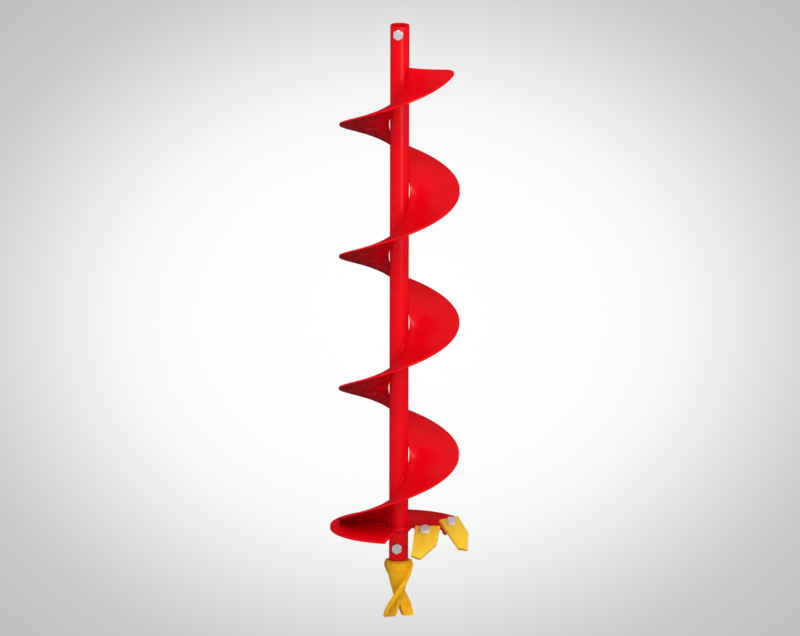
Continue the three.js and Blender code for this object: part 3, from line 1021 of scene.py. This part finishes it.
def direction(azimuth, elevation):
    """A direction out from the auger, its azimuth counted to the right of the front."""
    level = math.cos(elevation)
    return Vector((math.sin(azimuth) * level, -math.cos(azimuth) * level, math.sin(elevation)))


def toward(chosen, azimuth, elevation):
    """A direction out from the auger, in degrees right of the camera and above the horizon."""
    return direction(chosen.azimuth + math.radians(azimuth), math.radians(elevation))


def facing(chosen):
    """The camera's right, up and back directions."""
    back = direction(chosen.azimuth, chosen.elevation)
    right = UP.cross(back).normalized()
    return right, back.cross(right), back


def build_camera(chosen):
    right, up, back = facing(chosen)
    camera = bpy.data.cameras.new("camera")
    camera.type = "ORTHO"
    camera.ortho_scale = chosen.width
    holder = new_piece("camera", camera)
    target = UP * chosen.aim + right * chosen.side
    axes = Matrix((right, up, back)).transposed().to_4x4()
    lean = Matrix.Rotation(chosen.roll, 4, "Z")
    holder.matrix_world = Matrix.Translation(target + back * chosen.reach) @ axes @ lean
    bpy.context.scene.camera = holder


def softbox(name, chosen, azimuth, elevation, gap, size, power):
    """A square lamp that faces the middle of the auger."""
    out = toward(chosen, azimuth, elevation)
    lamp = bpy.data.lights.new(name, "AREA")
    lamp.shape = "SQUARE"
    lamp.size = size
    lamp.energy = power
    holder = new_piece(name, lamp)
    holder.location = UP * chosen.aim + out * gap
    holder.rotation_euler = out.to_track_quat("Z", "Y").to_euler()


def light_pool(tree, chosen, floor_height):
    """Distance on the floor from the middle of the view, where 1 is the view's edge."""
    right, _, back = facing(chosen)
    target = UP * chosen.aim + right * chosen.side
    centre = target - back * ((target.z - floor_height) / back.z)
    spread = (chosen.width / 2, chosen.height / 2 / math.sin(chosen.elevation), 1)
    place_node = add(tree, "ShaderNodeTexCoord")
    mapped = add(tree, "ShaderNodeMapping", {
        "Vector": place_node.outputs["Object"], "Location": (centre.x, centre.y, floor_height),
        "Rotation": (0, 0, chosen.azimuth), "Scale": spread,
    }, vector_type="TEXTURE")
    reach = add(tree, "ShaderNodeVectorMath", {"Vector": mapped.outputs[0]}, operation="LENGTH")
    return Field(reach.outputs["Value"])


def build_floor(chosen):
    """A pale floor that glows with a painted pool of light whatever the lamps do, and can be looked through from
    below.
    """
    height = CAD_BOX[0].z - chosen.floor_drop
    shape = bmesh.new()
    bmesh.ops.create_circle(shape, cap_ends=True, radius=chosen.floor_radius, segments=96,
                            matrix=Matrix.Translation((0, 0, height)))
    floor = piece_from("floor", shape)
    material, tree, shader = new_finish("pale_floor")
    reach = light_pool(tree, chosen, height)
    tones = add(tree, "ShaderNodeValToRGB", {"Fac": reach / FLOOR_REACH})
    ramp = tones.color_ramp
    for i, (at, tone) in enumerate(FLOOR_GLOW_POOL):
        stop = ramp.elements[i] if i < 2 else ramp.elements.new(at / FLOOR_REACH)
        stop.position = at / FLOOR_REACH
        stop.color = (tone, tone, tone, 1)
    # The floor's emission paints a pool of light, brightest in the middle of the view and dimmer outwards.
    glow = add(tree, "ShaderNodeEmission", {"Color": tones.outputs[0]})
    clear = add(tree, "ShaderNodeBsdfTransparent")
    back = add(tree, "ShaderNodeNewGeometry")
    sided = add(tree, "ShaderNodeMixShader", {
        0: back.outputs["Backfacing"], 1: glow.outputs[0], 2: clear.outputs[0],
    })
    wire(sided.outputs[0], tree.nodes["Material Output"].inputs["Surface"])
    tree.nodes.remove(shader)
    floor.data.materials.append(material)
    floor.visible_diffuse = False
    floor.visible_glossy = False


def build_world(chosen):
    """A studio brighter above and in front than behind and below, and dimmer in reflections."""
    world = bpy.data.worlds.new("studio")
    bpy.context.scene.world = world
    world.use_nodes = True
    tree = world.node_tree
    place_node = add(tree, "ShaderNodeTexCoord")
    ahead = add(tree, "ShaderNodeVectorMath",
                {0: place_node.outputs["Generated"], 1: toward(chosen, *BRIGHT_WAY)},
                operation="DOT_PRODUCT")

    def glow(fade, dark, bright):
        ramp = add(tree, "ShaderNodeMapRange", {
            "Value": ahead.outputs["Value"], "From Min": fade[0], "From Max": fade[1],
            "To Min": dark, "To Max": bright,
        }, interpolation_type="SMOOTHSTEP")
        return Field(ramp.outputs["Result"])

    light = glow(LIGHT_FADE, chosen.ground, chosen.sky)
    mirrored = glow(MIRROR_FADE, MIRROR_DARK, chosen.sky * chosen.mirrored)
    ray = add(tree, "ShaderNodeLightPath")
    strength = light + Field(ray.outputs["Is Glossy Ray"]) * (mirrored - light)
    strength = strength + Field(ray.outputs["Is Camera Ray"]) * (chosen.backdrop - strength)
    wire(strength, tree.nodes["Background"].inputs["Strength"])
    tree.nodes["Background"].inputs["Color"].default_value = (1, 1, 1, 1)


def build_studio(chosen):
    build_floor(chosen)
    build_world(chosen)
    softbox("key_light", chosen, *KEY_PLACE, chosen.key)
    softbox("side_light", chosen, *SIDE_PLACE, chosen.side_light)
    build_camera(chosen)
    bpy.context.scene.view_settings.view_transform = "Standard"


# ---- operators ----


class AugerOperator:
    """What the operators share: their settings group and the builders that they run."""

    bl_options = {"REGISTER", "UNDO"}
    group = ""
    builders = ()

    def execute(self, context):
        chosen = getattr(context.scene, self.group)
        for build in self.builders:
            build(chosen)
        return {"FINISHED"}


class AUGER_OT_tube(AugerOperator, bpy.types.Operator):
    """Build the shaft tube with its open socket and cross holes"""

    bl_idname = "auger.tube"
    bl_label = "Shaft Tube"
    group = "auger_tube"
    builders = (build_tube,)


class AUGER_OT_flight(AugerOperator, bpy.types.Operator):
    """Wind the four sections of the flight"""

    bl_idname = "auger.flight"
    bl_label = "Flight"
    group = "auger_flight"
    builders = (build_flight,)


class AUGER_OT_head(AugerOperator, bpy.types.Operator):
    """Build the head disc and its two blades"""

    bl_idname = "auger.head"
    bl_label = "Head Disc and Blades"
    group = "auger_head"
    builders = (build_disc, build_blades)


class AUGER_OT_pilot(AugerOperator, bpy.types.Operator):
    """Build the twisted pilot point"""

    bl_idname = "auger.pilot"
    bl_label = "Pilot Point"
    group = "auger_pilot"
    builders = (build_pilot,)


class AUGER_OT_fasteners(AugerOperator, bpy.types.Operator):
    """Build the bolts, nuts and washers"""

    bl_idname = "auger.fasteners"
    bl_label = "Bolts, Nuts and Washers"
    group = "auger_fasteners"
    builders = (build_bolts, build_nuts, build_washers)


class AUGER_OT_welds(AugerOperator, bpy.types.Operator):
    """Lay the weld beads on the tube, the flight and the head"""

    bl_idname = "auger.welds"
    bl_label = "Welds"
    group = "auger_welds"
    builders = (build_welds,)


class AUGER_OT_stage(AugerOperator, bpy.types.Operator):
    """Set up the floor, the lights and the camera"""

    bl_idname = "auger.stage"
    bl_label = "Studio"
    group = "auger_stage"
    builders = (build_studio,)


OPERATORS = (
    AUGER_OT_tube, AUGER_OT_flight, AUGER_OT_head, AUGER_OT_pilot, AUGER_OT_fasteners,
    AUGER_OT_welds, AUGER_OT_stage,
)


class AUGER_PT_panel(bpy.types.Panel):
    """Lists the auger's operators in the sidebar"""

    bl_idname = "AUGER_PT_panel"
    bl_label = "Soil Auger"
    bl_space_type = "VIEW_3D"
    bl_region_type = "UI"
    bl_category = "Auger"

    def draw(self, context):
        for operator in OPERATORS:
            box = self.layout.box()
            box.operator(operator.bl_idname)
            group = getattr(context.scene, operator.group)
            for name in group.__annotations__:
                box.prop(group, name)


CLASSES = (*SETTINGS.values(), *OPERATORS, AUGER_PT_panel)


def register():
    for each in CLASSES:
        bpy.utils.register_class(each)
    for name, group in SETTINGS.items():
        setattr(bpy.types.Scene, name, PointerProperty(type=group))


def unregister():
    for name in SETTINGS:
        delattr(bpy.types.Scene, name)
    for each in reversed(CLASSES):
        bpy.utils.unregister_class(each)


def main():
    register()
    for operator in OPERATORS:
        group, name = operator.bl_idname.split(".")
        getattr(getattr(bpy.ops, group), name)()
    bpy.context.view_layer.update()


if __name__ == "__main__":
    main()
